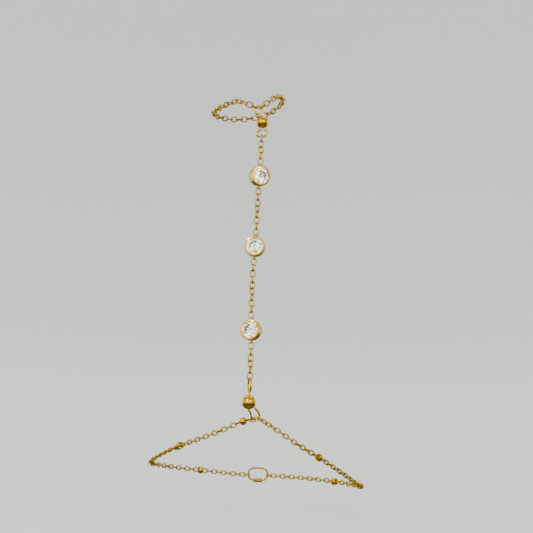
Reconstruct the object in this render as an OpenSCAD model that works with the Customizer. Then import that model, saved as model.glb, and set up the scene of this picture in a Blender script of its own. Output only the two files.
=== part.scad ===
// Hand chain bracelet: a loop for the middle finger and a loop for the wrist,
// joined over the back of the hand by a strand with three set stones.
// Millimetres. +Z points to the finger tips, -Y faces the viewer, and the origin
// lies on the axis of the wrist, level with the foot of the strand.

/* [Chain links] */
// Wire thickness of every chain link
link_wire = 0.4; // [0.36:0.01:0.42]
// Slack between two neighbouring links
link_slack = 0.13; // [0.12:0.01:0.15]
// Outside length of a link in the strand and the finger loop
strand_link_l = 2.68; // [2.64:0.01:2.85]
// Outside width of a link in the strand and the finger loop
strand_link_w = 1.94; // [1.88:0.01:2.04]
// Outside length of a link in the wrist loop
wrist_link_l = 2.5; // [2.48:0.01:2.65]
// Outside width of a link in the wrist loop
wrist_link_w = 1.66; // [1.6:0.01:1.72]

/* [Stones] */
// Outside width of a setting
setting_d = 6; // [5.4:0.1:7]
// Depth of a setting from its back to its rim
setting_h = 2.9; // [2.8:0.1:3.6]
// Wall of a setting beside the stone's edge
setting_wall = 0.25; // [0.25:0.01:0.4]
// Width of the rim that folds over the stone
rim_fold = 0.06; // [0.06:0.01:0.16]
// Thickness of that rim
rim_t = 0.12; // [0.1:0.01:0.16]
// Gap between a stone and its setting
stone_gap = 0.06; // [0.04:0.01:0.1]
// Width of the flat table as a share of the stone
table_share = 0.57; // [0.5:0.01:0.65]
// Slope of the facets above the stone's edge
crown_angle = 33; // [28:1:36]
// Slope of the facets below the stone's edge
pavilion_angle = 39; // [34:1:40]
// Height of the stone's upright edge
girdle_h = 0.16; // [0.1:0.01:0.25]
// Wire thickness of the two ears of a setting
ear_wire = 0.32; // [0.28:0.01:0.36]
// Hole of an ear
ear_hole = 0.68; // [0.64:0.01:0.76]
// Height of the ears above the back of the setting
ear_h = 1.1; // [0.9:0.1:1.4]

/* [Beads and pins] */
// Diameter of the round bead below the finger loop
upper_bead_d = 3.7; // [3.5:0.1:4.2]
// Diameter of the round bead above the wrist loop
lower_bead_d = 4.2; // [3.6:0.1:4.4]
// Wire thickness of the two eye pins
pin_wire = 0.56; // [0.5:0.01:0.58]
// Gap round a pin in its bead
pin_gap = 0.12; // [0.1:0.01:0.2]
// Wire between the upper bead and the top loop's wire
upper_neck = 0.6; // [0.5:0.05:1]
// Wire between the lower bead and the top loop's wire
lower_neck = 0.7; // [0.6:0.05:1.2]
// Wire between the upper bead and the bottom loop's wire
bottom_neck = 0.36; // [0.36:0.01:0.5]
// Outside diameter of the upper pin's top loop
upper_top_d = 3.06; // [2.9:0.1:3.6]
// Outside width of the upper pin's bottom loop
upper_bottom_w = 3.7; // [3.4:0.1:4.2]
// Outside height of the upper pin's bottom loop
upper_bottom_h = 2.76; // [2.6:0.1:3.4]
// Outside diameter of the lower pin's top loop
lower_top_d = 4.76; // [4.4:0.1:5.4]
// Outside width of the lower pin's bottom loop
lower_bottom_w = 4.4; // [4:0.1:4.8]
// Outside height of the lower pin's bottom loop
lower_bottom_h = 3.5; // [3.4:0.1:4]

/* [Satellite beads] */
// Outside diameter of a bead on the wrist loop
satellite_d = 2.3; // [2.3:0.05:2.8]
// Length of a bead on the wrist loop
satellite_l = 1.3; // [1.2:0.05:1.6]
// Gap between such a bead and its link
satellite_gap = 0.11; // [0.1:0.01:0.16]
// Rounding of its outer edges
satellite_round = 0.14; // [0.08:0.02:0.18]

/* [Clasp] */
// Outside length of the clasp
clasp_l = 7; // [6:0.5:9]
// Outside width of the clasp
clasp_w = 4.6; // [4:0.2:6]
// Wire thickness of the clasp
clasp_wire = 0.6; // [0.5:0.02:0.62]
// Diameter of the sleeve on its long side
sleeve_d = 1.3; // [1.1:0.1:1.6]
// Length of that sleeve
sleeve_l = 2.8; // [2:0.1:3]

/* [Hidden] */
$fn = 48;

gold = [0.86, 0.66, 0.25];
clear = [0.92, 0.94, 0.96];
viewer = [0, -1, 0];
wire_sides = 10;
loop_steps = 26;
span_steps = 10;

// Chosen points of the strand from the middle of the lower bead upwards.
// The last one only gives the direction in which a longer strand would run on.
strand_route = [
    [-2.05, -20.6, 4.8],
    [-1.78, -20, 12],
    [-1.5, -18.8, 19.7],
    [-1.31, -17.7, 25.47],
    [-1.33, -16.3, 31.82],
    [-0.94, -14.2, 42.92],
    [-0.25, -12.9, 49.88],
    [0.36, -11, 61.9],
    [0.91, -9.8, 70.89],
    [1.77, -7.9, 86.75],
    [3.2, -2.9, 120]
];

// Chosen points of the wrist loop, each half from the strand's foot to the clasp
wrist_left_route = [
    [-2.6, -18.8, -0.6],
    [-5.25, -18.4, -1.5],
    [-8.9, -17.8, -3.25],
    [-16.7, -15, -6.6],
    [-23.5, -9.4, -9.7],
    [-29.4, -2, -13.4],
    [-32.8, 5.5, -16.6],
    [-31.8, 13.4, -18.8],
    [-26.4, 20.4, -20.9],
    [-17.4, 24.8, -22.7],
    [-8.6, 26.4, -24]
];
wrist_right_route = [
    [4.75, -18.2, -2.7],
    [12.5, -17.5, -8.1],
    [19, -15.2, -12.4],
    [26.4, -9.4, -18.2],
    [30.6, -3.3, -22],
    [32.4, 2.5, -23.8],
    [31.5, 9.6, -24.9],
    [27, 17.2, -25.3],
    [18.4, 23, -25.2],
    [9, 25.9, -24.9]
];
wrist_middle = [0, 2, -24.6];
clasp_middle = [0.2, 26.6, -24.6];
clasp_along = [1, 0, -0.04];

// Middle of the finger from the middle of the upper bead
finger_centre = [-4.3, 10.4, 5.8];
// Chosen points of the finger loop from the middle of the upper bead,
// from the left side of the pin's top loop round the finger to its right side
finger_route = [
    [-4.9, 0.2, 5.7],
    [-7.6, 1.2, 6.45],
    [-10.7, 3.5, 5.85],
    [-13.6, 7.3, 4.95],
    [-15, 11.9, 4.3],
    [-13.9, 16, 3.7],
    [-9.7, 19.9, 3.4],
    [-4.3, 21.1, 3.7],
    [1.2, 19.8, 4.8],
    [5.2, 15.8, 6.9],
    [6.2, 11, 8.4],
    [4.95, 6.7, 8.6],
    [3.7, 3.9, 7.9],
    [1.7, 1.5, 6.2]
];

// How far each stone's face turns to the right, in degrees
stone_angles = [17, -8, -17];

// How far the lower pin's top loop turns its near side to the right
lower_top_angle = 12;

// Turn of each link about the chain, counted from the lower end of its stretch
turn_angles_1 = [stone_angles[0], 80, -36, 27, 90];
turn_angles_2 = [stone_angles[1], 80, 0, 65, -50, 15, 100, stone_angles[0]];
turn_angles_3 = [stone_angles[2], 75, -10, 65, -40, 30, -85, -10, 85, stone_angles[1]];
turn_angles_4 = [lower_top_angle, 77, -38, 27, 94, stone_angles[2]];

// Small turns that repeat along the loops, so that no two neighbours lie alike
loop_angles = [6, -4, 8, -6, 2, -7, 4, 8, -2, -8];
// Links of the wrist loop that carry a bead, counted from the strand
bead_places_left = [2, 17, 32, 47];
bead_places_right = [14, 29, 44];

// The lower pin's bottom loop seems turned by this much, its left side forward
lower_loop_angle = 45;
// It lies to the right of the pin, through points given as shares of its width
// and of its height below the bead
drop_loop = [
    [0, 0],
    [0.05, 0.1],
    [0.18, 0.23],
    [0.26, 0.4],
    [0.28, 0.58],
    [0.36, 0.75],
    [0.57, 0.87],
    [0.84, 0.92],
    [1.07, 0.85],
    [1.19, 0.68],
    [1.16, 0.48],
    [1.03, 0.25],
    [0.86, 0.06],
    [0.62, -0.16]
];
// Places along that loop, in points, where the two ends of the wrist chain hang
left_hook_step = 6.3;
right_hook_step = 8.3;
// More room where a chain hangs on a slanting stretch of a loop
loop_room = 0.15;
// Angles on the upper pin's top loop where the two ends of the finger chain hang
left_hook_angle = 140;
right_hook_angle = 48;
// How far on either side of a hook the wire's direction is taken, in degrees and in points
near_angle = 1;
near_step = 0.05;

function unit(v) = v / norm(v);
function across(v, axis) = unit(v - (v * axis) * axis);

// Catmull-Rom curve through the points p, with t counted in points
function curve_at(p, t) =
    let (
        last = len(p) - 1,
        i = min(floor(t), last - 1),
        u = t - i,
        b = p[i],
        c = p[i + 1],
        a = i > 0 ? p[i - 1] : 2 * b - c,
        d = i + 2 <= last ? p[i + 2] : 2 * c - b
    )
    b + 0.5 * u * ((c - a) + u * ((2 * a - 5 * b + 4 * c - d) + u * (3 * (b - c) + d - a)));
function curve(p) = [for (k = [0 : (len(p) - 1) * span_steps]) curve_at(p, k / span_steps)];
function lengths(c) =
    [for (i = 0, s = 0; i < len(c); s = i + 1 < len(c) ? s + norm(c[i + 1] - c[i]) : s, i = i + 1) s];

// A track is a curve with the length reached at each of its points
function track(p) = let (c = curve(p)) [lengths(c), c];
function track_length(t) = t[0][len(t[0]) - 1];
function pairs(t, axis) = [for (i = [0 : len(t[0]) - 1]) [t[0][i], t[1][i][axis]]];
function tables(t) = [pairs(t, 0), pairs(t, 1), pairs(t, 2)];
function at(tab, s) = [lookup(s, tab[0]), lookup(s, tab[1]), lookup(s, tab[2])];
function heading(tab, s, reach) = unit(at(tab, s + reach) - at(tab, s - reach));

// Turns local z to `along` and local -y as near to `towards` as that allows
module place(p, along, towards, turn = 0) {
    z = unit(along);
    y = -across(towards, z);
    x = cross(y, z);
    multmatrix([
        [x[0], y[0], z[0], p[0]],
        [x[1], y[1], z[1], p[1]],
        [x[2], y[2], z[2], p[2]]
    ]) rotate([0, 0, turn]) children();
}
function to_world(q, p, along, towards) =
    let (z = unit(along), y = -across(towards, z), x = cross(y, z))
    p + q[0] * x + q[1] * y + q[2] * z;

// Oval ring of round wire in the xz plane, long axis on z
module oval(l, w, wire) {
    bend = (w - wire) / 2;
    half = (l - w) / 2;
    rotate([90, 0, 0]) for (s = [0, 180]) rotate([0, 0, s]) {
        translate([0, half, 0])
            rotate_extrude(angle = 180) translate([bend, 0]) circle(d = wire);
        translate([bend, -half, 0]) rotate([-90, 0, 0]) cylinder(d = wire, h = 2 * half);
    }
}
module strand_link() oval(strand_link_l, strand_link_w, link_wire);
module wrist_link() oval(wrist_link_l, wrist_link_w, link_wire);

function pitch(l) = l - 2 * link_wire - link_slack;
// From the middle of a link to the middle of its end wire
function reach(l) = (l - link_wire) / 2;
// From the middle of a wire that a link hangs on to the middle of the link
function hang(l, wire) = reach(l) - (wire + link_wire) / 2 - link_slack;

// Round wire swept along the points p, with rings that turn as little as they can
module swept_wire(p, wire) {
    n = len(p);
    dirs = [for (i = [0 : n - 1])
        unit(i == 0 ? p[1] - p[0] : i == n - 1 ? p[i] - p[i - 1]
            : unit(p[i + 1] - p[i]) + unit(p[i] - p[i - 1]))];
    first = across(abs(dirs[0][2]) < 0.9 ? [0, 0, 1] : [1, 0, 0], dirs[0]);
    sides = [for (i = 0, s = first; i < n;
        i = i + 1, s = i < n ? across(s, dirs[i]) : s) s];
    ring_points = [for (i = [0 : n - 1], k = [0 : wire_sides - 1])
        let (a = 360 * k / wire_sides, other = cross(dirs[i], sides[i]))
        p[i] + wire / 2 * (cos(a) * sides[i] + sin(a) * other)];
    walls = [for (i = [0 : n - 2], k = [0 : wire_sides - 1])
        let (k2 = (k + 1) % wire_sides, a = i * wire_sides, b = a + wire_sides)
        [a + k, b + k, b + k2, a + k2]];
    caps = [
        [for (k = [0 : wire_sides - 1]) k],
        [for (k = [wire_sides - 1 : -1 : 0]) (n - 1) * wire_sides + k]
    ];
    polyhedron(points = ring_points, faces = concat(walls, caps), convexity = 6);
}

strand_pitch = pitch(strand_link_l);
upper_r = upper_bead_d / 2;
lower_r = lower_bead_d / 2;
upper_top_r = (upper_top_d - pin_wire) / 2;
lower_top_r = (lower_top_d - pin_wire) / 2;

// Distances along the strand from the middle of the lower bead
lower_loop_top = lower_r + lower_neck + 2 * lower_top_r;
setting_reach = setting_d / 2 + ear_hole / 2 + stone_gap + reach(strand_link_l);
start_4 = lower_loop_top + hang(strand_link_l, pin_wire);
stone_3_at = start_4 + (len(turn_angles_4) - 1) * strand_pitch + setting_reach;
start_3 = stone_3_at + setting_reach;
stone_2_at = start_3 + (len(turn_angles_3) - 1) * strand_pitch + setting_reach;
start_2 = stone_2_at + setting_reach;
stone_1_at = start_2 + (len(turn_angles_2) - 1) * strand_pitch + setting_reach;
start_1 = stone_1_at + setting_reach;
end_1 = start_1 + (len(turn_angles_1) - 1) * strand_pitch;
upper_loop_bottom = end_1 + hang(strand_link_l, pin_wire);
upper_drop = upper_r + bottom_neck + upper_bottom_h - pin_wire;
upper_bead_at = upper_loop_bottom + upper_drop;

strand = tables(track(strand_route));
lower_dir = unit(at(strand, lower_loop_top) - at(strand, 0));
lower_mid = at(strand, 0);
upper_foot = at(strand, upper_loop_bottom);
upper_dir = unit(at(strand, upper_bead_at) - upper_foot);
upper_mid = upper_foot + upper_drop * upper_dir;

module links_from(tab, start, step, turns) {
    for (i = [0 : len(turns) - 1])
        place(at(tab, start + i * step), heading(tab, start + i * step, step / 2), viewer, turns[i])
            strand_link();
}

// Bend of the upper pin's top loop, tilt of its bottom loop and bend of the other loops
upper_bend_angle = 295;
upper_tilt_angle = 11;
loop_bend_angle = 336;

// Points of the upper pin about the middle of its bead, from the cut end of its
// top loop down through the bead to the cut end of its bottom loop
upper_top_z = upper_r + upper_neck + upper_top_r;
function upper_top_point(a) =
    [upper_top_r * (cos(a) - 1), 0, upper_top_z + upper_top_r * sin(a)];
function upper_bottom_point(a) =
    let (
        h = (upper_bottom_h - pin_wire) / 2,
        w = (upper_bottom_w - pin_wire) / 2,
        q = [w * cos(a) * cos(upper_tilt_angle), h * sin(a) + w * cos(a) * sin(upper_tilt_angle)]
    )
    [q[0], 0, -upper_r - bottom_neck - h + q[1]];
upper_wire_points = concat(
    [for (k = [0 : loop_steps]) upper_top_point(upper_bend_angle * (1 - k / loop_steps))],
    [[0, 0, upper_r + upper_neck / 2]],
    [[0, 0, -upper_r - bottom_neck / 2]],
    [for (k = [1 : loop_steps]) upper_bottom_point(90 + loop_bend_angle * k / loop_steps)]
);

// Points of the lower pin about the middle of its bead, in the same order
function lower_top_point(a) =
    let (q = lower_top_r * cos(a))
    [-q * sin(lower_top_angle), q * cos(lower_top_angle), lower_r + lower_neck + lower_top_r * (1 + sin(a))];
function drop_point(t) =
    let (
        q = curve_at(drop_loop, t),
        w = q[0] * (lower_bottom_w - pin_wire),
        z = -lower_r - q[1] * (lower_bottom_h - pin_wire / 2)
    )
    [w * cos(lower_loop_angle), w * sin(lower_loop_angle), z];
drop_steps = 32;
lower_wire_points = concat(
    [for (k = [0 : loop_steps]) lower_top_point(270 + loop_bend_angle * (1 - k / loop_steps))],
    [for (k = [0 : drop_steps]) drop_point((len(drop_loop) - 1) * k / drop_steps)]
);

module upper_pin() {
    color(gold) place(upper_mid, upper_dir, viewer) swept_wire(upper_wire_points, pin_wire);
}
module lower_pin() {
    color(gold) place(lower_mid, lower_dir, viewer) swept_wire(lower_wire_points, pin_wire);
}

module round_bead(d) {
    difference() {
        sphere(d = d, $fn = 64);
        cylinder(d = pin_wire + 2 * pin_gap, h = 2 * d, center = true);
    }
}
module upper_bead() {
    color(gold) place(upper_mid, upper_dir, viewer) round_bead(upper_bead_d);
}
module lower_bead() {
    color(gold) place(lower_mid, lower_dir, viewer) round_bead(lower_bead_d);
}

module strand_chain_1() { color(gold) links_from(strand, start_1, strand_pitch, turn_angles_1); }
module strand_chain_2() { color(gold) links_from(strand, start_2, strand_pitch, turn_angles_2); }
module strand_chain_3() { color(gold) links_from(strand, start_3, strand_pitch, turn_angles_3); }
module strand_chain_4() { color(gold) links_from(strand, start_4, strand_pitch, turn_angles_4); }

// Stone and setting stand on z = 0 with the stone facing +z and the ears on the y axis
stone_r = setting_d / 2 - setting_wall - stone_gap;
girdle_top = setting_h - rim_t - rim_fold - stone_gap;
crown_h = stone_r * (1 - table_share) * tan(crown_angle);
pavilion_h = stone_r * tan(pavilion_angle);
base_round = 0.3;
ear_r = (ear_hole + ear_wire) / 2;
ear_at = setting_d / 2 + ear_hole / 2 + stone_gap;

module setting() {
    seat_z = girdle_top - girdle_h - stone_gap;
    seat_r = stone_r + stone_gap;
    seat_foot = seat_z - seat_r * tan(pavilion_angle);
    lip_r = stone_r - rim_fold;
    rotate_extrude() polygon([
        [0, 0],
        [setting_d / 2 - base_round, 0],
        [setting_d / 2, base_round],
        [setting_d / 2, setting_h - rim_t],
        [setting_d / 2 - rim_t, setting_h],
        [lip_r, setting_h],
        [lip_r, setting_h - rim_t],
        [seat_r, girdle_top + stone_gap],
        [seat_r, seat_z],
        [0, seat_foot]
    ]);
    for (s = [-1, 1]) translate([0, s * ear_at, ear_h]) rotate([0, 90, 0])
        rotate_extrude() translate([ear_r, 0]) circle(d = ear_wire);
}

// Round brilliant cut about its girdle: table, stars, kites, halves and pavilion
// The points of the star lie at 0.8 of the radius and those of the lower kites at 0.24
eighths = [0 : 7];
star_share = 0.8;
lower_share = 0.24;
half_eighth = 180 / 8;
function cut_ring(share, z, shift, n = 8) =
    [for (k = [0 : n - 1]) let (a = 360 * (k + shift) / n)
        [stone_r * share * cos(a), stone_r * share * sin(a), z]];
module brilliant() {
    star_z = stone_r * (1 - star_share * cos(half_eighth)) * tan(crown_angle);
    low_z = -girdle_h - stone_r * (1 - lower_share * cos(half_eighth)) * tan(pavilion_angle);
    table = 0;
    star = 8;
    top = 16;
    edge = 32;
    low = 48;
    culet = 56;
    points = concat(
        cut_ring(table_share, crown_h, 0),
        cut_ring(star_share, star_z, 0.5),
        cut_ring(1, 0, 0, 16),
        cut_ring(1, -girdle_h, 0, 16),
        cut_ring(lower_share, low_z, 0.5),
        [[0, 0, -girdle_h - pavilion_h]]
    );
    faces = concat(
        [[for (k = [7 : -1 : 0]) table + k]],
        [for (k = eighths) [table + k, table + (k + 1) % 8, star + k]],
        [for (k = eighths) [table + k, star + k, top + 2 * k]],
        [for (k = eighths) [table + k, top + 2 * k, star + (k + 7) % 8]],
        [for (k = eighths) [star + k, top + 2 * k + 1, top + 2 * k]],
        [for (k = eighths) [star + k, top + (2 * k + 2) % 16, top + 2 * k + 1]],
        [for (k = [0 : 15]) [top + k, top + (k + 1) % 16, edge + (k + 1) % 16, edge + k]],
        [for (k = eighths) [edge + 2 * k, edge + 2 * k + 1, low + k]],
        [for (k = eighths) [edge + 2 * k + 1, edge + (2 * k + 2) % 16, low + k]],
        [for (k = eighths) [edge + 2 * k, low + k, culet]],
        [for (k = eighths) [edge + 2 * k, culet, low + (k + 7) % 8]]
    );
    translate([0, 0, girdle_top]) polyhedron(points = points, faces = faces, convexity = 2);
}

module at_stone(i, s) {
    foot = at(strand, s - ear_at);
    head = at(strand, s + ear_at);
    place((foot + head) / 2, head - foot, viewer, stone_angles[i])
        rotate([90, 0, 0]) translate([0, 0, -ear_h]) children();
}
module setting_1() { color(gold) at_stone(0, stone_1_at) setting(); }
module setting_2() { color(gold) at_stone(1, stone_2_at) setting(); }
module setting_3() { color(gold) at_stone(2, stone_3_at) setting(); }
module crystal_1() { color(clear) at_stone(0, stone_1_at) brilliant(); }
module crystal_2() { color(clear) at_stone(1, stone_2_at) brilliant(); }
module crystal_3() { color(clear) at_stone(2, stone_3_at) brilliant(); }

// A hook is a place on a wire where a chain hangs, between two near points of the wire,
// and slanting wires need more room
function hook(p, q, wire, room = 0) = [(p + q) / 2, unit(q - p), wire, room];
function hook_point(h) = h[0];
function hook_along(h) = h[1];
function hook_wire(h) = h[2];
function hook_room(h) = h[3];

// A hung chain runs from one hook to another along a track, round a middle
function hung(first, route, last, l, middle) =
    [track(concat([hook_point(first)], route, [hook_point(last)])), first, last, l, middle];
function chain_track(c) = c[0];
function chain_hook(c, end) = c[1 + end];
function chain_link(c) = c[3];
function chain_middle(c) = c[4];
function chain_hang(c, end) =
    let (h = chain_hook(c, end)) hang(chain_link(c), hook_wire(h)) - hook_room(h);

// It has an even number of links, which share its length equally
function chain_span(c) = track_length(chain_track(c)) - chain_hang(c, 0) - chain_hang(c, 1);
function chain_count(c) = 2 * ceil((chain_span(c) / pitch(chain_link(c)) + 1) / 2);
function chain_step(c) = chain_span(c) / (chain_count(c) - 1);

// Middle, direction and outward side of link i
function link_frame(c, i) =
    let (
        tab = tables(chain_track(c)),
        s = chain_hang(c, 0) + i * chain_step(c),
        p = at(tab, s),
        out = p - chain_middle(c)
    )
    [p, heading(tab, s, chain_step(c) / 2), [out[0], out[1], 0]];

// A link has two like sides, so half a turn more or less changes nothing
function half_turn(a) = a - 180 * round(a / 180);
// Turn that lays a link's opening across the wire it hangs on
function turn_on_hook(h, frame) =
    let (z = frame[1], y = -across(frame[2], z), x = cross(y, z))
    atan2(-hook_along(h) * x, hook_along(h) * y);
// The turn of an end link fades out over its neighbours
fade_links = 6;
function fade(i) = max(0, 1 - i / fade_links);
function link_turn(c, i) =
    let (
        last = chain_count(c) - 1,
        first_turn = half_turn(turn_on_hook(chain_hook(c, 0), link_frame(c, 0))),
        last_turn = half_turn(turn_on_hook(chain_hook(c, 1), link_frame(c, last)) - 90),
        small = loop_angles[i % len(loop_angles)] * (1 - fade(i)) * (1 - fade(last - i))
    )
    (i % 2) * 90 + first_turn * fade(i) + last_turn * fade(last - i) + small;

module on_link(c, i) {
    f = link_frame(c, i);
    place(f[0], f[1], f[2], link_turn(c, i)) children();
}
module each_link(c) {
    for (i = [0 : chain_count(c) - 1]) on_link(c, i) children();
}

function on_upper(a) = to_world(upper_top_point(a), upper_mid, upper_dir, viewer);
function upper_hook(a) = hook(on_upper(a - near_angle), on_upper(a + near_angle), pin_wire, loop_room);
finger = hung(
    upper_hook(left_hook_angle),
    [for (p = finger_route) upper_mid + p],
    upper_hook(right_hook_angle),
    strand_link_l,
    upper_mid + finger_centre
);
module finger_chain() { color(gold) each_link(finger) strand_link(); }

function on_drop(t) = to_world(drop_point(t), lower_mid, lower_dir, viewer);
function lower_hook(t) = hook(on_drop(t - near_step), on_drop(t + near_step), pin_wire, loop_room);
// The clasp's end wires run along the clasp's width
function clasp_hook(side) =
    let (
        end = clasp_middle + side * (clasp_l - clasp_wire) / 2 * unit(clasp_along),
        width = unit(cross(clasp_along, clasp_middle - wrist_middle))
    )
    hook(end - width, end + width, clasp_wire);
left = hung(lower_hook(left_hook_step), wrist_left_route, clasp_hook(-1), wrist_link_l, wrist_middle);
right = hung(lower_hook(right_hook_step), wrist_right_route, clasp_hook(1), wrist_link_l, wrist_middle);
module wrist_chain_left() { color(gold) each_link(left) wrist_link(); }
module wrist_chain_right() { color(gold) each_link(right) wrist_link(); }

module satellite_bead() {
    bore_r = wrist_link_w / 2 + satellite_gap;
    out_r = satellite_d / 2;
    half = satellite_l / 2;
    c = satellite_round;
    rotate_extrude() polygon([
        [bore_r, -half],
        [out_r - c, -half],
        [out_r, c - half],
        [out_r, half - c],
        [out_r - c, half],
        [bore_r, half]
    ]);
}
module left_bead(i) { color(gold) on_link(left, bead_places_left[i]) satellite_bead(); }
module right_bead(i) { color(gold) on_link(right, bead_places_right[i]) satellite_bead(); }
module satellite_bead_1() { left_bead(0); }
module satellite_bead_2() { left_bead(1); }
module satellite_bead_3() { left_bead(2); }
module satellite_bead_4() { left_bead(3); }
module satellite_bead_5() { right_bead(0); }
module satellite_bead_6() { right_bead(1); }
module satellite_bead_7() { right_bead(2); }

module clasp() {
    side = (clasp_w - clasp_wire) / 2;
    color(gold) place(clasp_middle, clasp_along, clasp_middle - wrist_middle) {
        oval(clasp_l, clasp_w, clasp_wire);
        translate([side, 0, 0]) cylinder(d = sleeve_d, h = sleeve_l, center = true);
    }
}

finger_chain();
upper_pin();
upper_bead();
strand_chain_1();
setting_1();
crystal_1();
strand_chain_2();
setting_2();
crystal_2();
strand_chain_3();
setting_3();
crystal_3();
strand_chain_4();
lower_pin();
lower_bead();
wrist_chain_left();
wrist_chain_right();
satellite_bead_1();
satellite_bead_2();
satellite_bead_3();
satellite_bead_4();
satellite_bead_5();
satellite_bead_6();
satellite_bead_7();
clasp();
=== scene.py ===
# %% [markdown]
# # A hand chain with three stones
# A hand chain is a fine gold-coloured chain with a small loop, a large loop, and a strand
# with set stones between the two. The small loop is worn like a ring and the large one like
# a bracelet. Nothing on it moves on a hinge, so it is one body. The plain solids come from
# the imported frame, and this script gives each of them its fine shape and its finish.

import math

import bmesh
import bpy
import numpy as np
from mathutils import Matrix, Vector


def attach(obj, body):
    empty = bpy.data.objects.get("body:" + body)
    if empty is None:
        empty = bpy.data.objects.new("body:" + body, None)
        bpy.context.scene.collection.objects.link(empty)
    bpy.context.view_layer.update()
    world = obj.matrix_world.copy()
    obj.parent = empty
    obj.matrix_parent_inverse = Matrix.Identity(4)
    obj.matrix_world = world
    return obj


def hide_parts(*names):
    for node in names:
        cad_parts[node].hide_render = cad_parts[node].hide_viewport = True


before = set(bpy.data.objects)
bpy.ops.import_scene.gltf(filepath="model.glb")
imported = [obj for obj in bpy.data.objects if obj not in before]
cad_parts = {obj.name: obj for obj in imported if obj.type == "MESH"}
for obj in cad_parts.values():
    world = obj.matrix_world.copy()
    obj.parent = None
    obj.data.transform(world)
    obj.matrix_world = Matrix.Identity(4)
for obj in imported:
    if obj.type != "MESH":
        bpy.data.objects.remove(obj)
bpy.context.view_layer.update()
print("CAD nodes:", len(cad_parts))

# %% [markdown]
# ## Sizes
# The sizes are those of the real pieces, in metres, because a link that is 0.1 mm too wide
# no longer passes through its neighbour. Places aren't repeated here: each piece is later
# laid over the solid that it stands for. The solids' links are 0.4 mm wire, to stay clear of
# each other. Real links touch, so here the wire is a little thicker on the inside, and so
# is the wire of the pins all round.

# %% The sizes of the links and pins
MM = 0.001
QUARTER_TURN, FULL_TURN = math.pi / 2, 2 * math.pi
LINK_WIRE = 0.45 * MM
STRAND_LINK = (2.68 * MM, 1.94 * MM)
WRIST_LINK = (2.5 * MM, 1.66 * MM)
PIN_SOLID, PIN_WIRE = 0.56 * MM, 0.62 * MM
print("strand link length / wire:", round(STRAND_LINK[0] / LINK_WIRE, 2))

# %% [markdown]
# ## The camera
# The camera stands straight in front of the strand, a little over a third of a metre away.
# Scale and distance could be matched by eye, but it is quicker to work them out: 3.47
# pixels to the millimetre on the strand, in a picture of 533 pixels.

# %% Place the camera
PICTURE = 533
PIXELS_PER_METRE = 3470
DISTANCE = 0.340
STRAND_DEPTH = -0.021
VIEW_X, VIEW_Z = 0.00303, 0.04395
SENSOR = 36
camera_data = bpy.data.cameras.new("camera")
camera_data.sensor_width = SENSOR
camera_data.lens = SENSOR * PIXELS_PER_METRE * DISTANCE / PICTURE
camera_data.clip_start = 0.01
camera = bpy.data.objects.new("camera", camera_data)
camera.location = (VIEW_X, STRAND_DEPTH - DISTANCE, VIEW_Z)
camera.rotation_euler = (QUARTER_TURN, 0, 0)
bpy.context.scene.collection.objects.link(camera)
bpy.context.scene.camera = camera
print("lens in mm:", round(camera_data.lens, 1))

# %% [markdown]
# ## Reading a solid
# The frame's meshes are loose triangles. A merged copy can be walked from face to face, so
# it falls apart into its separate links. The middle and the three main directions of such
# a link come from the spread of its surface, which is a sum over its triangles.

# %% Helpers that measure the frame's solids
SAME_POINT = 1e-6


def merge_doubles(mesh):
    bmesh.ops.remove_doubles(mesh, verts=mesh.verts, dist=SAME_POINT)


def merged_copy(node):
    copy = bmesh.new()
    copy.from_mesh(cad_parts[node].data)
    merge_doubles(copy)
    return copy


def islands(mesh):
    """The faces of each separate shell, in the order of the mesh."""
    seen, found = set(), []
    for first in mesh.faces:
        if first in seen:
            continue
        seen.add(first)
        island, front = [first], [first]
        while front:
            for edge in front.pop().edges:
                for face in edge.link_faces:
                    if face not in seen:
                        seen.add(face)
                        island.append(face)
                        front.append(face)
        found.append(island)
    return found


def spread(faces):
    """Middle of a surface and its main directions, from the longest to the shortest."""
    area = np.array([f.calc_area() for f in faces])
    middles = np.array([f.calc_center_median() for f in faces])
    middle = (area[:, None] * middles).sum(0) / area.sum()
    off = middles - middle
    _, axes = np.linalg.eigh((off * area[:, None]).T @ off)
    return Vector(middle), [Vector(axes[:, k]).normalized() for k in (2, 1, 0)]


def pose(middle, x, y, z):
    """A place whose local axes point along x, y and z."""
    turn = Matrix((x, y, z)).transposed().to_4x4()
    return Matrix.Translation(middle) @ turn


print("links in the finger chain:", len(islands(merged_copy("finger_chain"))))

# %% [markdown]
# ## Turning a mesh into a piece
# A finished piece keeps its place in its mesh and its object at the origin. Then a pattern
# on Object coordinates neither slides nor turns, and all the pieces share one grain.

# %% Helpers that finish a piece and join its parts
def finish_piece(name, mesh, nodes, smooth=True):
    data = bpy.data.meshes.new(name)
    mesh.to_mesh(data)
    mesh.free()
    for polygon in data.polygons:
        polygon.use_smooth = smooth
    piece = bpy.data.objects.new(name, data)
    bpy.context.scene.collection.objects.link(piece)
    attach(piece, "root")
    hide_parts(*nodes)
    print(name, "has", len(data.polygons), "faces")
    return piece


def joined(parts):
    """One bmesh made of (mesh, place) pairs."""
    whole = bmesh.new()
    for part, place in parts:
        data = bpy.data.meshes.new("part")
        part.to_mesh(data)
        data.transform(place)
        whole.from_mesh(data)
        bpy.data.meshes.remove(data)
    bmesh.ops.recalc_face_normals(whole, faces=whole.faces)
    return whole


# %% [markdown]
# ## A chain link
# A link is a short piece of round wire that is bent into an oval and soldered shut. It
# could be a curve with a round bevel, but then its ends would have to be closed by hand.
# Here a ring of vertices is the wire's section. It is drawn out for the straight sides and
# spun for the two bends, and the last ring is merged with the first one.

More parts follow.
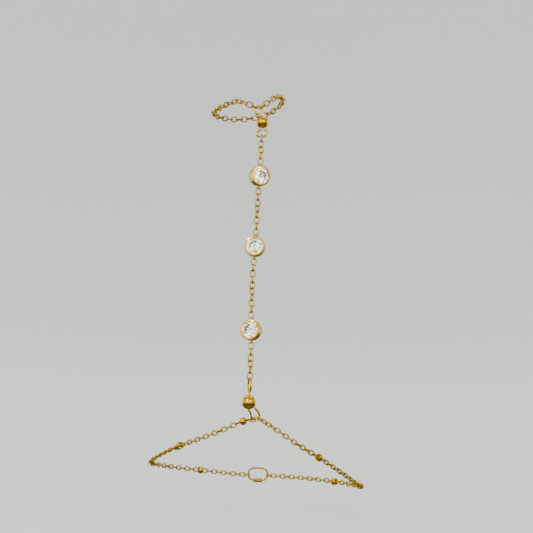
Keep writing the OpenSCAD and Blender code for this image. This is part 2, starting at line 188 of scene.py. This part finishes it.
# %% Draw one link
def oval_of_wire(length, width, wire, sides=8, steps=9, pointed=0.0):
    """An oval that lies in the xz plane. Pointed is the share by which its tips narrow."""
    bend = (width - wire) / 2
    half = (length - width) / 2
    link = bmesh.new()
    ring = bmesh.ops.create_circle(link, radius=wire / 2, segments=sides)["verts"]
    bmesh.ops.translate(link, verts=ring, vec=(bend, 0, -half))
    ring_edges = link.edges[:]
    for side in (1, -1):
        drawn = bmesh.ops.extrude_edge_only(link, edges=ring_edges)["geom"]
        ends = [g for g in drawn if isinstance(g, bmesh.types.BMVert)]
        ring_edges = [g for g in drawn if isinstance(g, bmesh.types.BMEdge)]
        bmesh.ops.translate(link, verts=ends, vec=(0, 0, side * 2 * half))
        bent = bmesh.ops.spin(
            link, geom=ends + ring_edges, cent=(0, 0, side * half), axis=(0, 1, 0),
            angle=-math.pi, steps=steps, use_duplicate=False,
        )["geom_last"]
        ring_edges = [g for g in bent if isinstance(g, bmesh.types.BMEdge)]
    merge_doubles(link)
    bmesh.ops.recalc_face_normals(link, faces=link.faces)
    for vertex in link.verts:
        vertex.co.x *= 1 - pointed * (2 * vertex.co.z / length) ** 2
    return link


sample = oval_of_wire(*STRAND_LINK, LINK_WIRE)
print("one link has", len(sample.faces), "faces, open edges:",
      sum(e.is_boundary for e in sample.edges))
sample.free()

# %% [markdown]
# ## The chains
# Each link of a chain is turned about a quarter turn from its neighbour, and in a chain
# that is worn the turns are uneven. The solids already hold each link's place and turn, so
# a smooth link is laid over each of them, with tips that are drawn in a little, as pulled
# wire has. All links of a chain are one mesh: it stays light, and it renders faster than
# hundreds of objects.

# %% Lay smooth links over the seven chains
TIP_NARROWS = 0.16


def smooth_chain(node, size):
    copy = merged_copy(node)
    parts = []
    for island in islands(copy):
        middle, (_, wide, thin) = spread(island)
        link = oval_of_wire(*size, LINK_WIRE, pointed=TIP_NARROWS)
        parts.append((link, pose(middle, wide, thin, wide.cross(thin))))
    copy.free()
    return finish_piece(node + "_links", joined(parts), [node])


gold_pieces = [smooth_chain("finger_chain", STRAND_LINK)]
gold_pieces += [smooth_chain(f"strand_chain_{i}", STRAND_LINK) for i in (1, 2, 3, 4)]
gold_pieces += [smooth_chain("wrist_chain_left", WRIST_LINK),
                smooth_chain("wrist_chain_right", WRIST_LINK)]

# %% [markdown]
# ## Turned pieces
# Settings, beads and rings are turned on a lathe, so each is drawn as half of its section
# and spun once round. The sharp corners are then bevelled a little, because it is the
# rounded edges of polished metal that catch the light. On a thin wall two bevels meet, and
# the points that then coincide are merged, so that no face without area is left.

# %% Helpers that turn a section and round its corners
SAME_HEIGHT = 1e-7


def spin_round(mesh, steps):
    """Spins all that is in the mesh once round z and closes the seam."""
    bmesh.ops.spin(mesh, geom=mesh.verts[:] + mesh.edges[:], cent=(0, 0, 0), axis=(0, 0, 1),
                   angle=FULL_TURN, steps=steps, use_merge=True, use_duplicate=False)
    merge_doubles(mesh)


def sharp_edges(mesh, degrees):
    return [e for e in mesh.edges
            if len(e.link_faces) == 2 and e.calc_face_angle() > math.radians(degrees)]


def turned(section, rounding, steps=48, sharp=25):
    """Spins the closed section of (radius, height) about z and bevels its sharp rings."""
    body = bmesh.new()
    corners = [body.verts.new((r, 0, z)) for r, z in section]
    for pair in zip(corners, corners[1:]):
        body.edges.new(pair)
    if section[0][0] > 0:
        body.edges.new((corners[-1], corners[0]))
    spin_round(body, steps)
    bmesh.ops.recalc_face_normals(body, faces=body.faces)
    rings = [e for e in sharp_edges(body, sharp)
             if abs(e.verts[0].co.z - e.verts[1].co.z) < SAME_HEIGHT]
    bmesh.ops.bevel(body, geom=rings, offset=rounding, segments=3, profile=0.5,
                    affect="EDGES", clamp_overlap=True, material=-1)
    merge_doubles(body)
    return body


sample = turned([(0, 0), (3 * MM, 0), (3 * MM, MM), (0, MM)], rounding=0.1 * MM)
print("a turned disc has", len(sample.faces), "faces")
sample.free()

# %% [markdown]
# ## Where a stone sits
# The flat table is a stone's largest facet, and it gives the direction in which the stone
# faces. The two ears are the parts of the setting that lie furthest from the stone's axis.

# %% Measure the three stones
EARS_START = 3.4 * MM


def join_flat(mesh, degrees):
    """Makes one facet of the faces that lie flat to each other."""
    bmesh.ops.dissolve_limit(mesh, angle_limit=math.radians(degrees), verts=mesh.verts,
                             edges=mesh.edges)


def largest_facet(mesh):
    join_flat(mesh, 1)
    return max(mesh.faces, key=lambda f: f.calc_area())


def stone_place(i):
    """Local z is the way the stone faces, local y the way from ear to ear, and the origin
    lies on the back of the setting."""
    stone = merged_copy(f"crystal_{i}")
    table = largest_facet(stone)
    facing, middle = table.normal.copy(), table.calc_center_median()
    setting = np.array([v.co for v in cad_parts[f"setting_{i}"].data.vertices])
    heights = (setting - np.array(middle)) @ np.array(facing)
    back = Vector(middle) + facing * float(heights.min())
    off = setting - np.array(middle)
    off -= np.outer(off @ np.array(facing), np.array(facing))
    far = off[np.linalg.norm(off, axis=1) > EARS_START]
    upper_ear = Vector(far[far[:, 2] > 0].mean(0))
    up = (upper_ear - upper_ear.dot(facing) * facing).normalized()
    stone.free()
    return pose(back, up.cross(facing), up, facing)


stone_places = {i: stone_place(i) for i in (1, 2, 3)}
for i, place in stone_places.items():
    print("stone", i, "faces", [round(c, 3) for c in place.col[2][:3]])

# %% [markdown]
# ## The settings
# Each stone sits in a round cup. The wall stands up to the stone's edge, and its thin rim
# is pressed over the slope of the crown, where it holds the stone. An ear of round wire is
# soldered to the top and to the bottom of the cup. The cup is a turned piece, and the ears
# are rings that are spun from a circle.

# %% Turn the cups and add the ears
CUP_R = 3.0 * MM
CUP_H = 2.9 * MM
STONE_R = 2.69 * MM
GIRDLE_TOP = 2.66 * MM
GIRDLE_H = 0.16 * MM
PAVILION = math.radians(39)
CROWN = math.radians(33)
ROOM = 0.06 * MM
BASE_SLOPE, RIM_SLOPE = 0.3 * MM, 0.12 * MM
LIP_REACH, LIP_RISE, LIP_CLEAR = 0.24 * MM, 0.08 * MM, 0.225 * MM
EAR_WIRE = 0.32 * MM
EAR_R = 0.5 * MM
EAR_AT = 3.4 * MM
EAR_UP = 1.1 * MM


def cup():
    seat_r, seat_z = STONE_R + ROOM, GIRDLE_TOP - GIRDLE_H - ROOM
    lip_r = STONE_R - LIP_REACH
    return turned([
        (0, 0), (CUP_R - BASE_SLOPE, 0), (CUP_R, BASE_SLOPE),
        (CUP_R, CUP_H - RIM_SLOPE), (CUP_R - RIM_SLOPE, CUP_H),
        (lip_r, CUP_H + LIP_RISE), (lip_r, GIRDLE_TOP + LIP_CLEAR),
        (seat_r, GIRDLE_TOP + ROOM), (seat_r, seat_z),
        (0, seat_z - seat_r * math.tan(PAVILION)),
    ], rounding=0.05 * MM, steps=72)


def ear(side):
    """A ring of wire and its place on the cup: side is 1 for the top, -1 for the bottom."""
    ring = bmesh.new()
    section = bmesh.ops.create_circle(ring, radius=EAR_WIRE / 2, segments=12)["verts"]
    bmesh.ops.rotate(ring, verts=section, cent=(0, 0, 0),
                     matrix=Matrix.Rotation(QUARTER_TURN, 3, "X"))
    bmesh.ops.translate(ring, verts=section, vec=(EAR_R, 0, 0))
    spin_round(ring, steps=32)
    edge_on = Matrix.Rotation(QUARTER_TURN, 4, "Y")
    return ring, Matrix.Translation((0, side * EAR_AT, EAR_UP)) @ edge_on


for i, place in stone_places.items():
    ears = [(ring, place @ at) for ring, at in (ear(1), ear(-1))]
    gold_pieces.append(finish_piece(f"cup_{i}", joined([(cup(), place)] + ears),
                                    [f"setting_{i}"]))

# %% [markdown]
# ## The stones
# The stones are round brilliants: a flat table, eight stars, eight kites and sixteen halves
# above the edge, and long facets that meet in a point below it. The corners of all these
# facets lie on a few rings, and the tightest skin round them is the cut stone, so the
# convex hull operator finds every facet. The facets stay flat-shaded.

# %% Cut the stones
TABLE_R, STAR_R, KITE_R = 0.57 * STONE_R, 0.8 * STONE_R, 0.24 * STONE_R


def brilliant():
    stone = bmesh.new()

    def corners(radius, height, count, shift=0):
        for k in range(count):
            a = FULL_TURN * (k + shift) / count
            stone.verts.new((radius * math.cos(a), radius * math.sin(a), height))

    between = math.cos(math.pi / 8)
    foot = GIRDLE_TOP - GIRDLE_H
    corners(TABLE_R, GIRDLE_TOP + (STONE_R - TABLE_R) * math.tan(CROWN), 8)
    corners(STAR_R, GIRDLE_TOP + (STONE_R - STAR_R * between) * math.tan(CROWN), 8, 0.5)
    corners(STONE_R, GIRDLE_TOP, 16)
    corners(STONE_R, foot, 16)
    corners(KITE_R, foot - (STONE_R - KITE_R * between) * math.tan(PAVILION), 8, 0.5)
    stone.verts.new((0, 0, foot - STONE_R * math.tan(PAVILION)))
    bmesh.ops.convex_hull(stone, input=stone.verts)
    join_flat(stone, 0.5)
    bmesh.ops.recalc_face_normals(stone, faces=stone.faces)
    return stone


stones = [finish_piece(f"stone_{i}", joined([(brilliant(), place)]),
                       [f"crystal_{i}"], smooth=False)
          for i, place in stone_places.items()]

# %% [markdown]
# ## Beads
# The two round beads are balls of polished metal that are drilled for the pin. The
# direction of the hole shows in the solid: the only sharp edges of a drilled ball are the
# two rims of its hole. A new ball is turned about that line, with its rims softened.

# %% Turn the two round beads
RIM_ANGLE = 45
HOLE_ROOM = 0.12 * MM
ARC_STEPS = 28


def hole_axis(mesh):
    """The middle of a drilled ball and the direction of its hole, upwards."""
    middles = np.array([(e.verts[0].co + e.verts[1].co) / 2
                        for e in sharp_edges(mesh, RIM_ANGLE)])
    upper = middles[:, 2] > middles[:, 2].mean()
    top, bottom = Vector(middles[upper].mean(0)), Vector(middles[~upper].mean(0))
    return (top + bottom) / 2, (top - bottom).normalized()


def about(middle, z):
    """A place on middle whose local z is the given direction."""
    return Matrix.Translation(middle) @ z.to_track_quat("Z", "Y").to_matrix().to_4x4()


def round_bead(node, diameter):
    copy = merged_copy(node)
    middle, up = hole_axis(copy)
    copy.free()
    radius, bore = diameter / 2, PIN_SOLID / 2 + HOLE_ROOM
    start = math.asin(bore / radius)
    arc = [start + (math.pi - 2 * start) * k / ARC_STEPS for k in range(ARC_STEPS + 1)]
    ball = turned([(radius * math.sin(a), radius * math.cos(a)) for a in arc],
                  rounding=0.06 * MM, steps=56, sharp=RIM_ANGLE)
    return finish_piece(node + "_ball", joined([(ball, about(middle, up))]), [node])


gold_pieces.append(round_bead("upper_bead", 3.7 * MM))
gold_pieces.append(round_bead("lower_bead", 4.2 * MM))

# %% [markdown]
# ## Ring beads on the wrist loop
# Seven short thick rings sit on links of the wrist loop. Their axis is the direction in
# which their surface spreads least. The section is a small block whose outside is a little
# crowned, with rounded corners.

# %% Turn the seven ring beads
def ring_bead(node):
    copy = merged_copy(node)
    middle, (_, _, along) = spread(copy.faces)
    copy.free()
    inner, outer, crowned, half = 0.94 * MM, 1.15 * MM, 0.06 * MM, 0.65 * MM
    edge = outer - crowned
    ring = turned([(inner, -half), (edge, -half), (outer, 0), (edge, half), (inner, half)],
                  rounding=0.1 * MM, steps=36, sharp=20)
    return finish_piece(node + "_ring", joined([(ring, about(middle, along))]), [node])


gold_pieces += [ring_bead(f"satellite_bead_{i}") for i in range(1, 8)]

# %% [markdown]
# ## The pins
# A pin is one wire with a loop at each end. Its solid has the right path but flat sides, so
# a merged copy of it is rounded: its triangles are joined to four-sided faces, and these
# are subdivided. Subdividing pulls a ten-sided wire inwards, so it is first made a little
# thicker to end at its real size.

# %% Round the two pins
PIN_SIDES = 10


def rounded_wire(node):
    copy = merged_copy(node)
    bmesh.ops.join_triangles(copy, faces=copy.faces, angle_face_threshold=math.radians(40),
                             angle_shape_threshold=math.radians(60))
    shrink = (2 + math.cos(FULL_TURN / PIN_SIDES)) / 3
    copy.normal_update()
    for vertex in copy.verts:
        vertex.co += vertex.normal * (PIN_WIRE / shrink - PIN_SOLID) / 2
    piece = finish_piece(node + "_wire", copy, [node])
    subdivision = piece.modifiers.new("round", "SUBSURF")
    subdivision.levels = subdivision.render_levels = 1
    return piece


gold_pieces.append(rounded_wire("upper_pin"))
gold_pieces.append(rounded_wire("lower_pin"))

# %% [markdown]
# ## The clasp
# The clasp is a plain oval of wire with a thicker sleeve on one of its long sides. It could
# be rounded as the pins are, but it is as quick to draw the same oval as for a link and to
# turn the sleeve. The sleeve's side is the one to which the solid reaches further.

# %% Draw the clasp
CLASP_LENGTH, CLASP_WIDTH, CLASP_WIRE = 7.0 * MM, 4.6 * MM, 0.6 * MM
SLEEVE_R, SLEEVE_HALF = 0.65 * MM, 1.4 * MM


def clasp():
    copy = merged_copy("clasp")
    centre, (long, wide, _) = spread(copy.faces)
    points = np.array([v.co for v in copy.verts])
    copy.free()
    along, across = points @ np.array(long), points @ np.array(wide)
    centre += long * ((along.max() + along.min()) / 2 - centre.dot(long))
    reach = (across.max() - centre.dot(wide), centre.dot(wide) - across.min())
    if reach[0] < reach[1]:
        wide, reach = -wide, reach[::-1]
    side = (CLASP_WIDTH - CLASP_WIRE) / 2
    centre += wide * (reach[0] - side - SLEEVE_R)
    place = pose(centre, wide, long.cross(wide), long)
    oval = oval_of_wire(CLASP_LENGTH, CLASP_WIDTH, CLASP_WIRE, sides=14, steps=16)
    sleeve = turned([(0, -SLEEVE_HALF), (SLEEVE_R, -SLEEVE_HALF), (SLEEVE_R, SLEEVE_HALF),
                     (0, SLEEVE_HALF)], rounding=0.14 * MM, steps=32)
    on_side = place @ Matrix.Translation((side, 0, 0))
    whole = joined([(oval, place), (sleeve, on_side)])
    return finish_piece("clasp_oval", whole, ["clasp"])


gold_pieces.append(clasp())

# %% [markdown]
# ## The gold finish
# The metal is polished brass with a thin layer of rich yellow gold. Real polish is never
# even: there are hair-fine rub marks, soft clouds where the layer is a little deeper in
# colour, and a few duller spots. These are three layers of noise at three scales. They are
# made once, in a group, so that beads, cups and links can have their own amounts.

# %% Build the shared group of polish marks
def socket(group, name, kind, way, value=None):
    new = group.interface.new_socket(name=name, socket_type=kind, in_out=way)
    if value is not None:
        new.default_value = value


def polish_group():
    group = bpy.data.node_groups.new("polish marks", "ShaderNodeTree")
    socket(group, "Colour", "NodeSocketColor", "INPUT", (0.9, 0.55, 0.13, 1))
    socket(group, "Deep colour", "NodeSocketColor", "INPUT", (0.7, 0.36, 0.05, 1))
    socket(group, "Base roughness", "NodeSocketFloat", "INPUT", 0.1)
    socket(group, "Marks", "NodeSocketFloat", "INPUT", 1.0)
    socket(group, "Colour out", "NodeSocketColor", "OUTPUT")
    socket(group, "Roughness", "NodeSocketFloat", "OUTPUT")
    socket(group, "Height", "NodeSocketFloat", "OUTPUT")
    nodes, links = group.nodes, group.links
    into, out = nodes.new("NodeGroupInput"), nodes.new("NodeGroupOutput")
    place = nodes.new("ShaderNodeTexCoord")

    def noise(scale, detail, stretch=(1, 1, 1)):
        mapping = nodes.new("ShaderNodeMapping")
        mapping.inputs["Scale"].default_value = stretch
        texture = nodes.new("ShaderNodeTexNoise")
        texture.inputs["Scale"].default_value = scale
        texture.inputs["Detail"].default_value = detail
        links.new(place.outputs["Object"], mapping.inputs["Vector"])
        links.new(mapping.outputs["Vector"], texture.inputs["Vector"])
        return texture.outputs["Fac"]

    def ramp(value, low, high):
        step = nodes.new("ShaderNodeMapRange")
        step.interpolation_type = "SMOOTHSTEP"
        step.inputs["From Min"].default_value = low
        step.inputs["From Max"].default_value = high
        links.new(value, step.inputs["Value"])
        return step.outputs["Result"]

    def math_node(kind, a, b):
        step = nodes.new("ShaderNodeMath")
        step.operation = kind
        for value, entry in ((a, step.inputs[0]), (b, step.inputs[1])):
            if isinstance(value, float):
                entry.default_value = value
            else:
                links.new(value, entry)
        return step.outputs[0]

    clouds = ramp(noise(scale=420, detail=3), low=0.35, high=0.7)
    rubs = ramp(noise(scale=2600, detail=2, stretch=(1, 1, 0.12)), low=0.5, high=0.72)
    spots = ramp(noise(scale=1500, detail=4), low=0.6, high=0.75)
    mix = nodes.new("ShaderNodeMix")
    mix.data_type = "RGBA"
    links.new(math_node("MULTIPLY", clouds, 0.7), mix.inputs["Factor"])
    links.new(into.outputs["Colour"], mix.inputs["A"])
    links.new(into.outputs["Deep colour"], mix.inputs["B"])
    links.new(mix.outputs["Result"], out.inputs["Colour out"])
    amount = into.outputs["Marks"]
    rough_rubs = math_node("MULTIPLY", rubs, 0.1)
    rough_spots = math_node("MULTIPLY", spots, 0.08)
    added = math_node("MULTIPLY", math_node("ADD", rough_rubs, rough_spots), amount)
    links.new(math_node("ADD", into.outputs["Base roughness"], added), out.inputs["Roughness"])
    links.new(math_node("MULTIPLY", rubs, amount), out.inputs["Height"])
    return group


polish = polish_group()
print("polish group nodes:", len(polish.nodes))

# %% [markdown]
# ## The metals
# Chains, cups and beads come out of the same bath, but they don't shine alike. The beads
# are the smoothest. The cups and the pins' heavier wire are polished almost as well, and the
# thin wire of the links keeps its fine drawing marks. So there are three gold materials,
# which place the same group with their own colours and amounts. The links' gold is painted
# darker than the beads': painted shade, so that the thin wire doesn't wash out in the light.

# %% Make the gold materials
MARK_DEPTH = 0.01 * MM


def gold(name, colour, deep, roughness, marks, bump):
    material = bpy.data.materials.new(name)
    material.use_nodes = True
    nodes, links = material.node_tree.nodes, material.node_tree.links
    shader = nodes["Principled BSDF"]
    shader.inputs["Metallic"].default_value = 1.0
    group = nodes.new("ShaderNodeGroup")
    group.node_tree = polish
    group.inputs["Colour"].default_value = colour
    group.inputs["Deep colour"].default_value = deep
    group.inputs["Base roughness"].default_value = roughness
    group.inputs["Marks"].default_value = marks
    relief = nodes.new("ShaderNodeBump")
    relief.inputs["Strength"].default_value = bump
    relief.inputs["Distance"].default_value = MARK_DEPTH
    links.new(group.outputs["Colour out"], shader.inputs["Base Color"])
    links.new(group.outputs["Roughness"], shader.inputs["Roughness"])
    links.new(group.outputs["Height"], relief.inputs["Height"])
    links.new(relief.outputs["Normal"], shader.inputs["Normal"])
    return material


BEAD_RICH = (0.94, 0.58, 0.012, 1)
BEAD_DEEP = (0.82, 0.46, 0.008, 1)
CUP_RICH = (0.9, 0.58, 0.015, 1)
CUP_DEEP = (0.74, 0.43, 0.01, 1)
# Painted shade: the links' gold below is a darker copy of the same gold as the beads.
SHADED_WIRE_RICH = (0.75, 0.5, 0.009, 1)
SHADED_WIRE_DEEP = (0.58, 0.35, 0.007, 1)
bead_gold = gold("polished bead gold", BEAD_RICH, BEAD_DEEP, roughness=0.1, marks=0.35,
                 bump=0.05)
cup_gold = gold("setting gold", CUP_RICH, CUP_DEEP, roughness=0.1, marks=0.7, bump=0.2)
shaded_wire_gold = gold("wire gold", SHADED_WIRE_RICH, SHADED_WIRE_DEEP, roughness=0.22, marks=1.0, bump=0.35)
for piece in gold_pieces:
    kind = piece.name.split("_")[-1]
    if kind in ("ball", "ring"):
        piece.data.materials.append(bead_gold)
    elif kind == "wire" or piece.name.startswith("cup"):
        piece.data.materials.append(cup_gold)
    else:
        piece.data.materials.append(shaded_wire_gold)
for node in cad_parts.values():
    node.data.materials.clear()
    node.data.materials.append(shaded_wire_gold)
print("gold pieces:", len(gold_pieces))

# %% [markdown]
# ## The stones' material
# Cut glass and zirconia are clear, bend light strongly and split it a little into colours,
# which shows as small straw, olive and lilac cells among the white ones. A clear shader with
# a high index of refraction gives the bright and dark facets by itself. True dispersion
# would need a render for each colour, so the split light is painted instead: a faint
# patchwork of straw, tan, olive, lilac and dark brown cells in the stone's own colour.

# %% Make the clear material
STONE_INDEX = 2.3
PAINTED_DISPERSION_SCALE = 1500
# Painted dispersion: cells of tint in the stone's base colour stand in for split light.
PAINTED_DISPERSION = [(0, (1, 1, 1)), (0.42, (0.93, 0.88, 0.74)), (0.58, (0.68, 0.57, 0.4)),
         (0.7, (1, 1, 1)), (0.78, (0.56, 0.56, 0.36)), (0.87, (0.74, 0.66, 0.86)),
         (0.95, (0.34, 0.22, 0.12))]


def set_stops(ramp, stops):
    """Sets the stops of a new colour ramp, given as (place, colour)."""
    elements = ramp.color_ramp.elements
    elements[0].position, elements[1].position = stops[0][0], stops[-1][0]
    for at, _ in stops[1:-1]:
        elements.new(at)
    for element, (_, colour) in zip(elements, stops):
        element.color = (*colour, 1)


def clear_stone():
    material = bpy.data.materials.new("clear stone")
    material.use_nodes = True
    nodes, links = material.node_tree.nodes, material.node_tree.links
    shader = nodes["Principled BSDF"]
    shader.inputs["Transmission Weight"].default_value = 1.0
    shader.inputs["IOR"].default_value = STONE_INDEX
    shader.inputs["Roughness"].default_value = 0.0
    place = nodes.new("ShaderNodeTexCoord")
    cells = nodes.new("ShaderNodeTexVoronoi")
    cells.inputs["Scale"].default_value = PAINTED_DISPERSION_SCALE
    pick = nodes.new("ShaderNodeSeparateColor")
    painted_dispersion = nodes.new("ShaderNodeValToRGB")
    painted_dispersion.color_ramp.interpolation = "CONSTANT"
    set_stops(painted_dispersion, PAINTED_DISPERSION)
    links.new(place.outputs["Object"], cells.inputs["Vector"])
    links.new(cells.outputs["Color"], pick.inputs["Color"])
    links.new(pick.outputs["Red"], painted_dispersion.inputs["Fac"])
    links.new(painted_dispersion.outputs["Color"], shader.inputs["Base Color"])
    return material


clear = clear_stone()
for stone in stones:
    stone.data.materials.append(clear)
for i in (1, 2, 3):
    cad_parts[f"crystal_{i}"].data.materials.clear()
    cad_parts[f"crystal_{i}"].data.materials.append(clear)
print("stones:", len(stones))

# %% [markdown]
# ## The floor
# A wide pale floor with a rim that curves up hides the horizon from every side. It is a
# section that is spun once round, like the turned pieces. It isn't seen in the metal or
# through the stones, where it would wash out the dark half of a bead and every facet.

# %% Spin the floor
FLOOR_Z = -0.034
FLAT_R, COVE_R, WALL = 0.7, 0.9, 0.2


def studio_floor():
    floor = bmesh.new()
    profile = [(0, FLOOR_Z), (FLAT_R, FLOOR_Z)]
    profile += [(FLAT_R + COVE_R * math.sin(a), FLOOR_Z + COVE_R * (1 - math.cos(a)))
                for a in (math.radians(k) for k in range(9, 91, 9))]
    profile.append((FLAT_R + COVE_R, FLOOR_Z + COVE_R + WALL))
    points = [floor.verts.new((r, 0, z)) for r, z in profile]
    for pair in zip(points, points[1:]):
        floor.edges.new(pair)
    spin_round(floor, steps=64)
    data = bpy.data.meshes.new("floor")
    floor.to_mesh(data)
    floor.free()
    for polygon in data.polygons:
        polygon.use_smooth = True
    piece = bpy.data.objects.new("floor", data)
    bpy.context.scene.collection.objects.link(piece)
    return piece


floor = studio_floor()
floor.visible_glossy = floor.visible_transmission = False
floor_paint = bpy.data.materials.new("floor paint")
floor_paint.use_nodes = True
floor_shader = floor_paint.node_tree.nodes["Principled BSDF"]
floor_shader.inputs["Base Color"].default_value = (0.84, 0.84, 0.83, 1)
floor_shader.inputs["Roughness"].default_value = 0.9
floor.data.materials.append(floor_paint)
print("floor faces:", len(floor.data.polygons))

# %% [markdown]
# ## The light
# The photograph's light is broad and comes from the front and above, a little stronger
# from the left. One wide softbox stands in front, and weaker ones stand above and, behind
# the piece, on either side. Two small ones in front give the stones their sparks.

# %% Hang the lamps
MIDDLE = Vector((0, 0, 0.045))


def softbox(name, place, width, height, watts):
    """A lamp that faces the middle of the piece."""
    lamp = bpy.data.lights.new(name, "AREA")
    lamp.shape = "RECTANGLE"
    lamp.size, lamp.size_y = width, height
    lamp.energy = watts
    box = bpy.data.objects.new(name, lamp)
    box.location = place
    box.rotation_euler = (MIDDLE - Vector(place)).to_track_quat("-Z", "Y").to_euler()
    bpy.context.scene.collection.objects.link(box)


softbox("softbox front", (-0.15, -0.92, 0.33), 2.6, 1, 7)
softbox("softbox above", (0, 0.4, 0.9), 1.2, 0.7, 2.5)
softbox("softbox left", (-0.7, 0.5, 0.1), 0.5, 0.7, 1.5)
softbox("softbox right", (0.7, 0.55, 0.05), 0.4, 0.6, 1)
softbox("spark left", (-0.4, -0.6, 0.6), 0.12, 0.12, 1.2)
softbox("spark right", (0.35, -0.55, 0.35), 0.08, 0.08, 0.4)

# %% [markdown]
# The room itself is a soft white sky for the floor. Metal mirrors whatever is round it, and
# there an even sky would flatten its shape, so a mirrored ray meets a sky of its own: dark
# below, bright from the horizon upwards, with one thin dark band across. The horizon lies
# lower behind the piece, so the light creeps down both edges of a polished ball.

# %% Light the room for the floor and for the metal
TILTED_UP = (0, 0.14, 0.99)
BANDS = [(0, 0.22), (0.14, 0.11), (0.34, 0.15), (0.4, 0.36), (0.48, 0.64), (0.78, 0.72),
         (0.82, 0.22), (0.86, 0.7), (1, 0.45)]
world = bpy.data.worlds.new("studio")
world.use_nodes = True
bpy.context.scene.world = world
world_nodes, world_links = world.node_tree.nodes, world.node_tree.links
sky = world_nodes["Background"]
sky.inputs["Color"].default_value = (0.9, 0.9, 0.9, 1)
sky.inputs["Strength"].default_value = 1.15
direction = world_nodes.new("ShaderNodeTexCoord")
height = world_nodes.new("ShaderNodeVectorMath")
height.operation = "DOT_PRODUCT"
height.inputs[1].default_value = TILTED_UP
rising = world_nodes.new("ShaderNodeMapRange")
rising.inputs["From Min"].default_value = -1
bands = world_nodes.new("ShaderNodeValToRGB")
set_stops(bands, [(at, (grey, grey, grey)) for at, grey in BANDS])
mirrored = world_nodes.new("ShaderNodeBackground")
world_links.new(direction.outputs["Generated"], height.inputs[0])
world_links.new(height.outputs["Value"], rising.inputs["Value"])
world_links.new(rising.outputs["Result"], bands.inputs["Fac"])
world_links.new(bands.outputs["Color"], mirrored.inputs["Color"])
print("bands in the mirrored sky:", len(BANDS))

# %% [markdown]
# A clear stone is lit by what lies behind its facets, after many turns inside it. In an even
# room all its facets look alike. Real stones sparkle because a room is a patchwork of
# windows, walls and dark corners, so rays that have passed through a stone meet such a
# patchwork: mostly white, with a few straw, olive, lilac and dark cards.

# %% Hang the cards that the stones see
CARD_SCALE = 3.2
CARDS = [(0, (4.6, 4.35, 3.7)), (0.45, (2.8, 2.6, 1.9)), (0.64, (1, 0.9, 1.05)),
         (0.74, (0.5, 0.47, 0.27)), (0.84, (0.55, 0.42, 0.26)), (0.94, (0.3, 0.2, 0.11))]
patches = world_nodes.new("ShaderNodeTexVoronoi")
patches.inputs["Scale"].default_value = CARD_SCALE
chance = world_nodes.new("ShaderNodeSeparateColor")
cards = world_nodes.new("ShaderNodeValToRGB")
cards.color_ramp.interpolation = "CONSTANT"
set_stops(cards, CARDS)
behind_stones = world_nodes.new("ShaderNodeBackground")
world_links.new(direction.outputs["Generated"], patches.inputs["Vector"])
world_links.new(patches.outputs["Color"], chance.inputs["Color"])
world_links.new(chance.outputs["Red"], cards.inputs["Fac"])
world_links.new(cards.outputs["Color"], behind_stones.inputs["Color"])
ray = world_nodes.new("ShaderNodeLightPath")
for_metal, for_stones = (world_nodes.new("ShaderNodeMixShader") for _ in range(2))
world_links.new(ray.outputs["Is Glossy Ray"], for_metal.inputs[0])
world_links.new(sky.outputs["Background"], for_metal.inputs[1])
world_links.new(mirrored.outputs["Background"], for_metal.inputs[2])
world_links.new(ray.outputs["Is Transmission Ray"], for_stones.inputs[0])
world_links.new(for_metal.outputs["Shader"], for_stones.inputs[1])
world_links.new(behind_stones.outputs["Background"], for_stones.inputs[2])
world_links.new(for_stones.outputs["Shader"], world_nodes["World Output"].inputs["Surface"])
print("cards:", len(CARDS))
